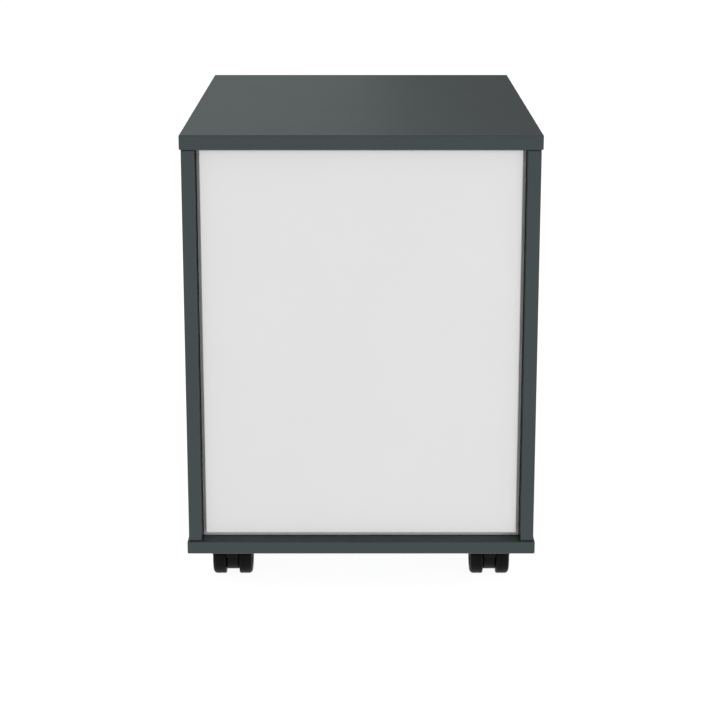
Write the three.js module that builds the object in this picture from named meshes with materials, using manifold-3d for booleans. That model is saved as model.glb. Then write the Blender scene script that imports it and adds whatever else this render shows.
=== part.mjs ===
// Mobile filing cabinet (under-desk pedestal) of folded sheet steel, with two box drawers, one drawer for
// hanging files, a central lock and four twin-wheel castors.
// Millimetres. +X is to the right of somebody who faces the drawers, -Y is the front, +Z is up.
import * as THREE from 'three';
import { mergeVertices } from 'three/addons/utils/BufferGeometryUtils.js';
import Module from 'manifold-3d';

const kernel = await Module();
kernel.setup();

// ---------------------------------------------------------------------------------------------------
// Driving dimensions
// ---------------------------------------------------------------------------------------------------
const WIDTH = 430;              // top and base panels
const DEPTH = 600;              // top and base panels, without the handles
const HEIGHT = 580;             // floor to top
const CASTOR_HEIGHT = 58;       // floor to the base panel's underside
const TOP_THICKNESS = 18;
const BASE_THICKNESS = 16;
const SIDE_THICKNESS = 16;
const FRONT_THICKNESS = 18;
const BACK_THICKNESS = 10;
const BACK_RECESS = 21;         // from the sides' rear edges to the back panel's flanges
const BACK_STEP = 14;           // from its flanges to its raised face
const BACK_FLANGE = { side: 4.4, bottom: 8.2, top: 0.5 };
const BACK_BEND = 1.5;          // outer radius of the raised face's folded edges
const OVERHANG = 2;             // of the top and base past the sides and the drawer fronts
const SKIN = 0.8;               // steel of the double-skinned panels
const TRAY_SHEET = 1;
const GAP = 0.3;                // between two pieces that are fastened to each other
const REVEAL = 3;               // between neighbouring drawer fronts
const FRONT_BEND = 2;           // outer radius of the drawer fronts' folded edges
const BUMPER_GAP = 2;           // between a closed drawer front and the side panels' front edges

const SLIDE = { length: 500, setback: 16, height: 45.5, thickness: 12.7, sheet: 1.2, ball: 3.2 };
const TRAY_DEPTH = 510;

const HANDLE = { length: 172, reach: 28, height: 12, leg: 12, bar: 8, outerBend: 12, innerBend: 4 };

const CASTOR = {
  insetX: 51,                   // from the base panel's sides to the swivel axes
  insetY: 70,                   // from its front and rear edges to the swivel axes
  trail: 20,                    // from the swivel axis to the axle
  wheelRadius: 25,
  wheelWidth: 16.7,
  width: 50,
  facets: 24,
};

// The rebate along a side panel's front inner edge, where the lock bar runs.
const REBATE = { depth: 10, width: 20 };
const LOCK = { x: 194, belowFrontTop: 18, lift: 9, plugRadius: 6.5, housingRadius: 9.5 };

// ---------------------------------------------------------------------------------------------------
// Planes that follow from them
// ---------------------------------------------------------------------------------------------------
const frontFace = -DEPTH / 2 + OVERHANG;
const frontBack = frontFace + FRONT_THICKNESS;
const sideFront = frontBack + BUMPER_GAP;
const sideRear = DEPTH / 2 - OVERHANG;
const sideOuter = WIDTH / 2 - OVERHANG;
const sideInner = sideOuter - SIDE_THICKNESS;
const baseTop = CASTOR_HEIGHT + BASE_THICKNESS;
const topUnderside = HEIGHT - TOP_THICKNESS;
const backOuter = sideRear - BACK_RECESS;
const slideFront = sideFront + SLIDE.setback;
const slideOuterPlane = sideInner - GAP;
const slideInnerPlane = slideOuterPlane - SLIDE.thickness;
const trayHalfWidth = slideInnerPlane - GAP;
const trayFront = frontBack + GAP;
const trayRear = trayFront + TRAY_DEPTH;
const catchY = sideFront + 8.5; // centre of the catch pins that the lock bar holds

// The origin is under the middle of the whole cabinet, handles included.
const frameShift = (HANDLE.reach - OVERHANG) / 2;

// Each drawer: the height of its front and tray, its slide and catch pin, from the bottom up.
const DRAWERS = [
  { name: 'file_drawer', front: [77, 345], tray: [86, 316], slide: 200, catchPin: 296, handle: 300 },
  { name: 'middle_drawer', front: [348, 476], tray: [356, 456], slide: 406, catchPin: 438, handle: 412 },
  { name: 'top_drawer', front: [479, 559], tray: [486, 548], slide: 517, catchPin: 515, handle: 519 },
];
const [fileDrawer, , topDrawer] = DRAWERS;

// ---------------------------------------------------------------------------------------------------
// Materials
// ---------------------------------------------------------------------------------------------------
const finish = (color, roughness, metalness) => ({ color, roughness, metalness });
const GREY_GREEN = finish(0x474d4f, 0.5, 0.3);
const WHITE = finish(0xe4e4e3, 0.45, 0.2);
const ZINC = finish(0xa8acae, 0.35, 0.9);
const SATIN_STEEL = finish(0xb9bab8, 0.3, 0.95);
const BLACK_PLASTIC = finish(0x161616, 0.55, 0);
const CHROME = finish(0xd0d2d4, 0.12, 1);
const CAST_STEEL = finish(0x3a3b3c, 0.7, 0.8);

// ---------------------------------------------------------------------------------------------------
// Solid geometry helpers
// ---------------------------------------------------------------------------------------------------
function block([x0, x1], [y0, y1], [z0, z1]) {
  const geometry = new THREE.BoxGeometry(x1 - x0, y1 - y0, z1 - z0);
  return geometry.translate((x0 + x1) / 2, (y0 + y1) / 2, (z0 + z1) / 2);
}

function cylinder(radius, length, sides) {
  return new THREE.CylinderGeometry(radius, radius, length, sides);
}

// A cylinder along X from x0 to x1, around (y, z).
function rodX(radius, [x0, x1], y, z, sides = 24) {
  const turned = cylinder(radius, x1 - x0, sides).rotateY(Math.PI / sides).rotateZ(-Math.PI / 2);
  return turned.translate((x0 + x1) / 2, y, z);
}

function rodY(radius, x, [y0, y1], z, sides = 24) {
  return cylinder(radius, y1 - y0, sides).translate(x, (y0 + y1) / 2, z);
}

function rodZ(radius, x, y, [z0, z1], sides = 24) {
  return cylinder(radius, z1 - z0, sides).rotateX(Math.PI / 2).translate(x, y, (z0 + z1) / 2);
}

function toSolid(geometry) {
  const bare = geometry.clone();
  bare.deleteAttribute('normal');
  bare.deleteAttribute('uv');
  const merged = mergeVertices(bare, 1e-4);
  const vertProperties = new Float32Array(merged.attributes.position.array);
  const triVerts = new Uint32Array(merged.index.array);
  return new kernel.Manifold(new kernel.Mesh({ numProp: 3, vertProperties, triVerts }));
}

function toGeometry(body) {
  const mesh = body.getMesh();
  const geometry = new THREE.BufferGeometry();
  geometry.setAttribute('position', new THREE.BufferAttribute(new Float32Array(mesh.vertProperties), 3));
  geometry.setIndex(new THREE.BufferAttribute(new Uint32Array(mesh.triVerts), 1));
  geometry.computeVertexNormals();
  return geometry;
}

function join(first, ...others) {
  return toGeometry(others.reduce((body, piece) => body.add(toSolid(piece)), toSolid(first)));
}

function carve(first, ...cuts) {
  return toGeometry(cuts.reduce((body, piece) => body.subtract(toSolid(piece)), toSolid(first)));
}

function keepInside(first, limit) {
  return toGeometry(toSolid(first).intersect(toSolid(limit)));
}

// A range across the cabinet, from the middle outwards, on the right (side 1) or on the left (side -1).
function across(side, near, far) {
  return side > 0 ? [near, far] : [-far, -near];
}

function shrink([low, high], margin) {
  return [low + margin, high - margin];
}

// A slab whose face towards `outward` (-1 is the front, 1 is the back) has rounded edges all round.
function foldedSlab(x, y, z, bend, outward) {
  const outline = new THREE.Shape();
  const [x0, x1] = shrink(x, bend);
  const [z0, z1] = shrink(z, bend);
  outline.moveTo(x0, z0);
  outline.lineTo(x1, z0);
  outline.lineTo(x1, z1);
  outline.lineTo(x0, z1);
  const depth = y[1] - y[0];
  const bevel = { bevelThickness: bend, bevelSize: bend, bevelSegments: 4 };
  const slab = new THREE.ExtrudeGeometry(outline, { depth, ...bevel });
  slab.rotateX(Math.PI / 2);
  slab.translate(0, outward < 0 ? y[1] + bend : y[1] - bend, 0);
  return keepInside(slab, block(shrink(x, -1), y, shrink(z, -1)));
}

// ---------------------------------------------------------------------------------------------------
// The scene graph
// ---------------------------------------------------------------------------------------------------
const group = new THREE.Group();
group.position.y = frameShift;

function place(name, geometry, look, parent = group) {
  const mesh = new THREE.Mesh(geometry, new THREE.MeshStandardMaterial(look));
  mesh.name = name;
  parent.add(mesh);
  return mesh;
}

// ---------------------------------------------------------------------------------------------------
// Carcass: double-skinned panels, hollow inside, with hidden access slots for their fasteners
// ---------------------------------------------------------------------------------------------------
function accessSlots(z) {
  const slots = [];
  for (const side of [-1, 1]) {
    for (const y of [-180, 180]) {
      slots.push(block(across(side, sideInner + 5, sideOuter - 5), [y - 30, y + 30], z));
    }
  }
  return slots;
}

function flatPanel(z, slotZ) {
  const x = [-WIDTH / 2, WIDTH / 2];
  const y = [-DEPTH / 2, DEPTH / 2];
  const hollow = block(shrink(x, SKIN), shrink(y, SKIN), shrink(z, SKIN));
  return carve(block(x, y, z), hollow, ...accessSlots(slotZ));
}

function sidePanel(side) {
  const z = [baseTop + GAP, topUnderside - GAP];
  const rebateRear = sideFront + REBATE.width;
  const rebateOuter = sideInner + REBATE.depth;
  const shell = block(across(side, sideInner, sideOuter), [sideFront, sideRear], z);
  const rebate = block(across(side, sideInner - 1, rebateOuter), [sideFront - 1, rebateRear], shrink(z, -1));
  const innerZ = shrink(z, SKIN);
  const mainX = across(side, sideInner + SKIN, sideOuter - SKIN);
  const mainHollow = block(mainX, [rebateRear + SKIN, sideRear - SKIN], innerZ);
  const frontX = across(side, rebateOuter + SKIN, sideOuter - SKIN);
  const frontHollow = block(frontX, [sideFront + SKIN, rebateRear + 2 * SKIN], innerZ);
  const slots = [...accessSlots([z[0] - 1, z[0] + 2]), ...accessSlots([z[1] - 2, z[1] + 1])];
  return carve(shell, rebate, mainHollow, frontHollow, ...slots);
}

// The back panel is one pan: its flanges stand against the carcass, and its middle is raised backwards.
function backPanel() {
  const x = [-sideInner + 0.5, sideInner - 0.5];
  const y = [backOuter - BACK_THICKNESS, backOuter];
  const z = [baseTop + GAP, topUnderside - GAP];
  const faceX = shrink(x, BACK_FLANGE.side);
  const faceY = [y[0] + 2, backOuter + BACK_STEP];
  const faceZ = [z[0] + BACK_FLANGE.bottom, z[1] - BACK_FLANGE.top];
  const shell = join(block(x, y, z), foldedSlab(faceX, faceY, faceZ, BACK_BEND, 1));
  const flangeHollow = block(shrink(x, SKIN), [y[0] - 1, y[1] - SKIN], shrink(z, SKIN));
  const faceHollowY = [y[0] - 1, faceY[1] - SKIN];
  return carve(shell, flangeHollow, block(shrink(faceX, SKIN), faceHollowY, shrink(faceZ, SKIN)));
}

const topZ = [topUnderside, HEIGHT];
const baseZ = [CASTOR_HEIGHT, baseTop];
place('top_panel', flatPanel(topZ, [topZ[0] - 1, topZ[0] + 2]), GREY_GREEN);
place('base_panel', flatPanel(baseZ, [baseZ[1] - 2, baseZ[1] + 1]), GREY_GREEN);
place('left_side_panel', sidePanel(-1), GREY_GREEN);
place('right_side_panel', sidePanel(1), GREY_GREEN);
place('back_panel', backPanel(), WHITE);

// The counterweight stands on the base behind the file drawer, so that the cabinet doesn't tip forwards.
const weightRear = backOuter - BACK_THICKNESS - 4;
const weight = block([-180, 180], [weightRear - 24, weightRear], [baseTop + GAP, baseTop + 64]);
place('counterweight', weight, CAST_STEEL);

// ---------------------------------------------------------------------------------------------------
// Telescopic slides: three nested channels a side, with room for the balls between their flanges
// ---------------------------------------------------------------------------------------------------
const outerHalf = SLIDE.height / 2;
const middleHalf = outerHalf - SLIDE.sheet - SLIDE.ball;
const innerHalf = middleHalf - SLIDE.sheet - SLIDE.ball;

// A channel along Y. Its web lies at the near or the far end of the range x, measured from the middle.
function channel(side, [near, far], half, webIsFar) {
  const y = [0, SLIDE.length];
  const body = block(across(side, near, far), y, [-half, half]);
  const inside = webIsFar ? [near - 1, far - SLIDE.sheet] : [near + SLIDE.sheet, far + 1];
  return carve(body, block(across(side, ...inside), shrink(y, -1), shrink([-half, half], SLIDE.sheet)));
}

const slideMembers = {
  outer: (side) => channel(side, [slideOuterPlane - 9, slideOuterPlane], outerHalf, true),
  middle: (side) => channel(side, [slideInnerPlane + 1.7, slideOuterPlane - 2.2], middleHalf, true),
  inner: (side) => channel(side, [slideInnerPlane, slideInnerPlane + 8], innerHalf, false),
};

// ---------------------------------------------------------------------------------------------------
// Drawers
// ---------------------------------------------------------------------------------------------------
function drawerFront(drawer) {
  const x = [-sideOuter, sideOuter];
  const y = [frontFace, frontBack];
  const z = drawer.front;
  const hollow = foldedSlab(shrink(x, SKIN), shrink(y, SKIN), shrink(z, SKIN), FRONT_BEND - SKIN, -1);
  const cuts = [hollow];
  for (const screwX of [-1, 1].map((side) => (side * (HANDLE.length - HANDLE.leg)) / 2)) {
    cuts.push(rodY(9, screwX, [frontBack - 2, frontBack + 1], drawer.handle));
  }
  if (drawer === topDrawer) {
    cuts.push(rodY(LOCK.housingRadius + GAP, LOCK.x, [frontFace - 1, frontBack + 1], lockZ, 32));
  }
  return carve(foldedSlab(x, y, z, FRONT_BEND, -1), ...cuts);
}

function drawerTray(drawer) {
  const x = [-trayHalfWidth, trayHalfWidth];
  const y = [trayFront, trayRear];
  const [floor, rim] = drawer.tray;
  const shell = block(x, y, [floor, rim]);
  const inside = block(shrink(x, TRAY_SHEET), shrink(y, TRAY_SHEET), [floor + TRAY_SHEET, rim + 1]);
  const catchPin = rodX(2, [trayHalfWidth - TRAY_SHEET / 2, sideInner + 6], catchY, drawer.catchPin, 16);
  return join(carve(shell, inside), catchPin);
}

// A bow handle: two legs and a bar in one flat outline with rounded corners.
function bowHandle() {
  const { length, reach, height, leg, bar, outerBend, innerBend } = HANDLE;
  const end = length / 2;
  const foot = -GAP;
  const bow = new THREE.Shape();
  bow.moveTo(-end, foot);
  bow.absarc(-end + outerBend, -reach + outerBend, outerBend, Math.PI, Math.PI * 1.5);
  bow.absarc(end - outerBend, -reach + outerBend, outerBend, Math.PI * 1.5, Math.PI * 2);
  bow.lineTo(end, foot);
  bow.lineTo(end - leg, foot);
  bow.absarc(end - leg - innerBend, -reach + bar + innerBend, innerBend, 0, -Math.PI / 2, true);
  bow.absarc(-end + leg + innerBend, -reach + bar + innerBend, innerBend, -Math.PI / 2, -Math.PI, true);
  bow.lineTo(-end + leg, foot);
  const options = { depth: height, bevelEnabled: false, curveSegments: 8 };
  return new THREE.ExtrudeGeometry(bow, options).translate(0, 0, -height / 2);
}

const lockZ = topDrawer.front[1] - LOCK.belowFrontTop;

for (const drawer of DRAWERS) {
  place(`${drawer.name}_front`, drawerFront(drawer), WHITE);
  place(`${drawer.name}_tray`, drawerTray(drawer), GREY_GREEN);
  place(`${drawer.name}_handle`, bowHandle(), SATIN_STEEL).position.set(0, frontFace, drawer.handle);
  for (const [hand, side] of [['left', -1], ['right', 1]]) {
    for (const [member, build] of Object.entries(slideMembers)) {
      const slide = place(`${drawer.name}_${hand}_slide_${member}`, build(side), ZINC);
      slide.position.set(0, slideFront, drawer.slide);
    }
  }
}

// Pen tray: hangs by its side lips on the top drawer's walls, with a pen groove and three small boxes.
const PEN_TRAY = { depth: 112, groove: 46, sink: 22, wall: 2, lip: 2 };

function penTray() {
  const { depth, groove, sink, wall, lip } = PEN_TRAY;
  const rim = topDrawer.tray[1] + GAP + lip;
  const floor = topDrawer.tray[1] - sink;
  const inner = trayHalfWidth - TRAY_SHEET - GAP;
  const front = trayFront + TRAY_SHEET + GAP;
  const rear = front + depth;
  const bowl = block([-inner, inner], [front, rear], [floor, rim]);
  const lips = block([-trayHalfWidth, trayHalfWidth], [front, rear], [rim - lip, rim]);
  const pocketZ = [floor + wall, rim + 1];
  const pockets = [block(shrink([-inner, inner], wall), [front + wall, front + groove], pocketZ)];
  const pitch = (2 * inner - wall) / 3;
  for (let column = 0; column < 3; column += 1) {
    const left = -inner + wall + column * pitch;
    pockets.push(block([left, left + pitch - wall], [front + groove + wall, rear - wall], pocketZ));
  }
  return carve(join(bowl, lips), ...pockets);
}
place('pen_tray', penTray(), BLACK_PLASTIC);

// File rails: two flat bars that rest on the file drawer's front and rear walls, for A4 hanging files.
const FILE_RAIL = { spacing: 330, thickness: 2, height: 14 };

function fileRail(side) {
  const near = (FILE_RAIL.spacing - FILE_RAIL.thickness) / 2;
  const x = across(side, near, near + FILE_RAIL.thickness);
  const seat = fileDrawer.tray[1] + GAP;
  const top = seat + 2;
  const insideY = shrink([trayFront, trayRear], TRAY_SHEET + GAP);
  const web = block(x, insideY, [top - FILE_RAIL.height, top]);
  return join(web, block(x, [trayFront, trayRear], [seat, top]));
}
place('left_file_rail', fileRail(-1), ZINC);
place('right_file_rail', fileRail(1), ZINC);

// ---------------------------------------------------------------------------------------------------
// Central lock: the key turns the plug, whose cam pin lifts the lock bar over the trays' catch pins
// ---------------------------------------------------------------------------------------------------
const CAM = { radius: 8.6, thickness: 1.5, pinRadius: 1.6, throwRadius: LOCK.lift / Math.SQRT2 };
const plugFace = frontFace - 2;
const camFront = frontBack + GAP;
const camRear = camFront + CAM.thickness;
const camPinX = LOCK.x + LOCK.lift / 2;
const camPinZ = lockZ - LOCK.lift / 2;

function revolveY(points, sides) {
  return new THREE.LatheGeometry(points.map(([radius, y]) => new THREE.Vector2(radius, y)), sides);
}

function lockHousing() {
  const bore = LOCK.plugRadius + GAP;
  const flange = LOCK.housingRadius + 2;
  const face = frontFace - GAP;
  const profile = [
    [bore, frontBack - GAP],
    [LOCK.housingRadius, frontBack - GAP],
    [LOCK.housingRadius, face],
    [flange, face],
    [flange, face - 1.2],
    [flange - 1, face - 2.2],
    [bore, face - 2.2],
    [bore, frontBack - GAP],
  ];
  return revolveY(profile.reverse(), 32).translate(LOCK.x, 0, lockZ);
}

function lockPlug() {
  const barrel = rodY(LOCK.plugRadius, LOCK.x, [plugFace, camFront + CAM.thickness / 2], lockZ, 28);
  const cam = rodY(CAM.radius, LOCK.x, [camFront, camRear], lockZ, 28);
  const pin = rodY(CAM.pinRadius, camPinX, [camFront, camRear + 2.3], camPinZ, 16);
  const keyway = block([LOCK.x - 1, LOCK.x + 1], [plugFace - 1, plugFace + 14], [lockZ - 4, lockZ + 4]);
  return carve(join(barrel, cam, pin), keyway);
}

function key() {
  const bladeX = [LOCK.x - 0.7, LOCK.x + 0.7];
  const blade = block(bladeX, [plugFace - 8, plugFace + 13], [lockZ - 3, lockZ + 3]);
  const bowY = plugFace - 13;
  const bow = rodX(10, shrink(bladeX, -0.3), bowY, lockZ, 28);
  const ringHole = rodX(2.5, shrink(bladeX, -2), bowY - 4.5, lockZ, 16);
  return carve(join(blade, bow), ringHole);
}

// The bar's hooks: each notch lets a catch pin out forwards, and once the bar is up a lip shuts it in.
function lockBar() {
  const barX = [sideInner + 2, sideInner + 4];
  const barY = [sideFront + 3, sideFront + 15];
  const tabY = [camRear + 0.8, camRear + 2.3];
  const tabTop = camPinZ + 5;
  const strip = block(barX, barY, [baseTop + 18, tabTop]);
  const neck = block(barX, [tabY[0], barY[0] + 2], [camPinZ - 12, tabTop]);
  const tab = block([sideInner + 0.3, sideInner + 8], tabY, [camPinZ - 5, tabTop]);
  const fork = block([sideInner - 1, camPinX + 4.5], shrink(tabY, -0.5), [camPinZ - 2.1, camPinZ + 2.1]);
  const notches = DRAWERS.flatMap(({ catchPin }) => {
    const innerY = catchY + 3;
    const mouth = block(shrink(barX, -1), [barY[0] - 1, innerY], [catchPin - 3, catchPin + 3]);
    const trapZ = [catchPin - 3 - LOCK.lift, catchPin + 3];
    return [mouth, block(shrink(barX, -1), [catchY - 3, innerY], trapZ)];
  });
  return carve(join(strip, neck, tab), fork, ...notches);
}

place('lock_housing', lockHousing(), CHROME);
place('lock_plug', lockPlug(), CHROME);
place('lock_key', key(), SATIN_STEEL);
place('lock_bar', lockBar(), ZINC);

// ---------------------------------------------------------------------------------------------------
// Castors: modelled around the swivel axis, with the axle a trail's length in front of it
// ---------------------------------------------------------------------------------------------------
const axleY = -CASTOR.trail;
const axleZ = CASTOR.wheelRadius;
const AXLE_RADIUS = 3;
const KINGPIN_RADIUS = 4;
const WEB_HALF = 7.7;
const WEB_RADIUS = 19.3;
const HOOD_RADIUS = 27.8;
const WELL_RADIUS = 25.8;
const HOUSING_TOP = CASTOR_HEIGHT - 3;
const PLATE = { size: 42, z: [HOUSING_TOP + GAP, CASTOR_HEIGHT - GAP] };

function castorPlate() {
  const half = PLATE.size / 2;
  const plate = block([-half, half], [-half, half], PLATE.z);
  return join(plate, rodZ(KINGPIN_RADIUS, 0, 0, [HOUSING_TOP - 8, PLATE.z[0] + 1]));
}

function castorHousing() {
  const half = CASTOR.width / 2;
  const hoodBody = rodX(HOOD_RADIUS, [-half, half], axleY, axleZ, 36);
  const hood = keepInside(hoodBody, block([-half - 1, half + 1], [-60, 30], [axleZ + 8, HOUSING_TOP]));
  const web = rodX(WEB_RADIUS, [-WEB_HALF, WEB_HALF], axleY, axleZ, 36);
  const neck = block([-WEB_HALF, WEB_HALF], [axleY, 9], [axleZ + 5, HOUSING_TOP - 3]);
  const boss = rodZ(11, 0, 0, [HOUSING_TOP - 12, HOUSING_TOP], 32);
  const wells = [-1, 1].map((side) =>
    rodX(WELL_RADIUS, across(side, WEB_HALF + 0.3, half + 1), axleY, axleZ, 36));
  const axleBore = rodX(AXLE_RADIUS + GAP, [-half, half], axleY, axleZ);
  const kingpinBore = rodZ(KINGPIN_RADIUS + GAP, 0, 0, [HOUSING_TOP - 9, HOUSING_TOP + 1]);
  return carve(join(hood, web, neck, boss), ...wells, axleBore, kingpinBore);
}

// Half a section through a wheel, as radius and distance from the castor's middle: a blind bore inside,
// a flat tread, a rounded shoulder and a dished hub outside.
function castorWheel(side) {
  const outer = CASTOR.width / 2;
  const inner = outer - CASTOR.wheelWidth;
  const tread = CASTOR.wheelRadius / Math.cos(Math.PI / CASTOR.facets);
  const shoulder = 5;
  const bore = AXLE_RADIUS + GAP;
  const profile = [
    [0, inner + 11.7],
    [bore, inner + 11.7],
    [bore, inner],
    [tread - 1.2, inner],
    [tread, inner + 1.5],
  ];
  for (let step = 0; step <= 3; step += 1) {
    const angle = (step / 3) * (Math.PI / 2);
    const radius = tread - shoulder + shoulder * Math.cos(angle);
    profile.push([radius, outer - shoulder + shoulder * Math.sin(angle)]);
  }
  profile.push([16, outer], [14.5, outer - 1.8], [0, outer - 1.8]);
  const points = profile.map(([radius, distance]) => new THREE.Vector2(radius, distance));
  const start = Math.PI / CASTOR.facets;
  const wheel = new THREE.LatheGeometry(points, CASTOR.facets, start).rotateZ(-Math.PI / 2);
  if (side < 0) wheel.rotateZ(Math.PI);
  return wheel.translate(0, axleY, axleZ);
}

const castorX = WIDTH / 2 - CASTOR.insetX;
const castorY = DEPTH / 2 - CASTOR.insetY;
for (const [end, y] of [['front', -castorY], ['rear', castorY]]) {
  for (const [hand, x] of [['left', -castorX], ['right', castorX]]) {
    const castor = new THREE.Group();
    castor.position.set(x, y, 0);
    group.add(castor);
    const name = `${end}_${hand}_castor`;
    const axleHalf = CASTOR.width / 2 - 5.4;
    place(`${name}_plate`, castorPlate(), ZINC, castor);
    place(`${name}_housing`, castorHousing(), BLACK_PLASTIC, castor);
    place(`${name}_axle`, rodX(AXLE_RADIUS, [-axleHalf, axleHalf], axleY, axleZ), ZINC, castor);
    place(`${name}_left_wheel`, castorWheel(-1), BLACK_PLASTIC, castor);
    place(`${name}_right_wheel`, castorWheel(1), BLACK_PLASTIC, castor);
  }
}

export default group;
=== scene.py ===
"""The looks of the mobile filing cabinet: panels, drawers, slides, lock and castors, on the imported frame.

The frame gives every place and size, in metres, with +Z up and the drawers facing -Y. Each piece below
replaces a plain solid with a finished one, or is a small part that the solids leave out.
"""
import math

import bmesh
import bpy
from mathutils import Matrix, Vector


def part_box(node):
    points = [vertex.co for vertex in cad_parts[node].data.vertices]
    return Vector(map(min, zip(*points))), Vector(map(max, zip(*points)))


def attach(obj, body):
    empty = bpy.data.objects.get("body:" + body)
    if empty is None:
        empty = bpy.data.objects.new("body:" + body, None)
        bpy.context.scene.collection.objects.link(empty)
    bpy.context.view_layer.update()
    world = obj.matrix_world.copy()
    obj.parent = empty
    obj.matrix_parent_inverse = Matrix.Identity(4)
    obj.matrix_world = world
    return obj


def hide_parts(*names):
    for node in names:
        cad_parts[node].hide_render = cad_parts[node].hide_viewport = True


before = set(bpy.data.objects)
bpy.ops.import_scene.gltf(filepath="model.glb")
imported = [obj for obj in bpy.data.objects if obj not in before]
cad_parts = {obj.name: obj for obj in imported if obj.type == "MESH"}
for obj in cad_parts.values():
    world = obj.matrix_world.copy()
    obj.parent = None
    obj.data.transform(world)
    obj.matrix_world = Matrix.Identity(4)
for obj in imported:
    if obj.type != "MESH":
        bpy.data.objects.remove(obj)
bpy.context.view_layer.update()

MM = 0.001
SAME = 1e-6         # metres: points nearer than this are the same point
PAST = 5 * MM       # how far a cutting block runs past the face that it cuts
DRAWERS = ("file_drawer", "middle_drawer", "top_drawer")
SLIDE_MEMBERS = ("outer", "middle", "inner")
SIDES = (("left", -1), ("right", 1))
CASTORS = [f"{end}_{hand}_castor" for end in ("front", "rear") for hand in ("left", "right")]

# ----------------------------------------------------------------------------------------------------
# Camera: behind the cabinet, above its top, looking slightly down
# ----------------------------------------------------------------------------------------------------
CAMERA_PLACE = (0.0014, 2.610, 0.922)
CAMERA_PITCH = math.radians(13.95)
CAMERA_LENS = 98.4
CAMERA_SHIFT_Y = -0.05


def make_camera():
    camera = bpy.data.objects.new("camera", bpy.data.cameras.new("camera"))
    bpy.context.scene.collection.objects.link(camera)
    camera.location = CAMERA_PLACE
    camera.rotation_euler = (math.pi / 2 - CAMERA_PITCH, 0, math.pi)
    camera.data.lens = CAMERA_LENS
    camera.data.shift_y = CAMERA_SHIFT_Y
    camera.data.clip_start = 0.05
    camera.data.clip_end = 60
    bpy.context.scene.camera = camera


make_camera()


# ----------------------------------------------------------------------------------------------------
# Materials
# ----------------------------------------------------------------------------------------------------
class Shader:
    """A node material, with short calls for the nodes that the finishes below share."""

    def __init__(self, name):
        self.material = bpy.data.materials.new(name)
        self.material.use_nodes = True
        self.nodes = self.material.node_tree.nodes
        self.links = self.material.node_tree.links
        self.surface = self.nodes["Principled BSDF"]
        self.place = self.nodes.new("ShaderNodeTexCoord").outputs["Object"]

    def set(self, **values):
        for key, value in values.items():
            self.surface.inputs[key.replace("_", " ")].default_value = value

    def stretched(self, scale):
        mapping = self.nodes.new("ShaderNodeMapping")
        mapping.inputs["Scale"].default_value = scale
        self.links.new(self.place, mapping.inputs["Vector"])
        return mapping.outputs["Vector"]

    def noise(self, scale, detail=2.0, where=None):
        noise = self.nodes.new("ShaderNodeTexNoise")
        noise.inputs["Scale"].default_value = scale
        noise.inputs["Detail"].default_value = detail
        self.links.new(where or self.place, noise.inputs["Vector"])
        return noise.outputs["Fac"]

    def cells(self, scale):
        cells = self.nodes.new("ShaderNodeTexVoronoi")
        cells.inputs["Scale"].default_value = scale
        self.links.new(self.place, cells.inputs["Vector"])
        return cells.outputs["Color"]

    def span(self, value, low, high, start=0.3, end=0.7):
        span = self.nodes.new("ShaderNodeMapRange")
        span.inputs["From Min"].default_value = start
        span.inputs["From Max"].default_value = end
        span.inputs["To Min"].default_value = low
        span.inputs["To Max"].default_value = high
        self.links.new(value, span.inputs["Value"])
        return span.outputs["Result"]

    def blend(self, value, first, second, start=0.35, end=0.65):
        ramp = self.nodes.new("ShaderNodeValToRGB")
        ramp.color_ramp.elements[0].position = start
        ramp.color_ramp.elements[0].color = (*first, 1)
        ramp.color_ramp.elements[1].position = end
        ramp.color_ramp.elements[1].color = (*second, 1)
        self.links.new(value, ramp.inputs["Fac"])
        return ramp.outputs["Color"]

    def bump(self, *layers):
        """Each layer is (height, strength, depth in metres)."""
        normal = None
        for height, strength, depth in layers:
            bump = self.nodes.new("ShaderNodeBump")
            bump.inputs["Strength"].default_value = strength
            bump.inputs["Distance"].default_value = depth
            self.links.new(height, bump.inputs["Height"])
            if normal:
                self.links.new(normal, bump.inputs["Normal"])
            normal = bump.outputs["Normal"]
        self.links.new(normal, self.surface.inputs["Normal"])

    def feed(self, socket, value):
        self.links.new(value, self.surface.inputs[socket])


def powder_coat(name, low, high, roughness, peel=0.10):
    """Baked powder paint: an even colour, a fine orange peel and a dusting of finer grain."""
    coat = Shader(name)
    coat.set(Metallic=0.0, IOR=1.5)
    coat.feed("Base Color", coat.blend(coat.noise(9, 4), low, high))
    coat.feed("Roughness", coat.span(coat.noise(31, 5), roughness - 0.005, roughness + 0.007))
    coat.bump((coat.noise(620, 2), peel, 0.00012), (coat.noise(2600, 1), peel * 0.5, 0.00004))
    return coat.material


def zinc_plate(name):
    """Bright zinc plating: soft crystal flakes, thin rolling lines along the part, and a few dull spots."""
    zinc = Shader(name)
    zinc.set(Metallic=1.0)
    lines = zinc.noise(90, 3, zinc.stretched((14, 0.5, 14)))
    flakes = zinc.cells(260)
    zinc.feed("Base Color", zinc.blend(flakes, (0.565, 0.575, 0.585), (0.615, 0.625, 0.63), 0.1, 0.9))
    zinc.feed("Roughness", zinc.span(lines, 0.26, 0.44))
    zinc.bump((lines, 0.12, 0.00005), (zinc.noise(900, 2), 0.08, 0.00003))
    return zinc.material


def brushed_steel(name, tint):
    """Satin steel with fine brushing lines along X."""
    steel = Shader(name)
    steel.set(Metallic=1.0)
    lines = steel.noise(130, 4, steel.stretched((0.35, 26, 26)))
    bright = tuple(min(1.0, c * 1.12) for c in tint)
    steel.feed("Base Color", steel.blend(lines, tint, bright, 0.3, 0.7))
    steel.feed("Roughness", steel.span(lines, 0.24, 0.36))
    steel.bump((lines, 0.15, 0.00004))
    return steel.material


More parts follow.
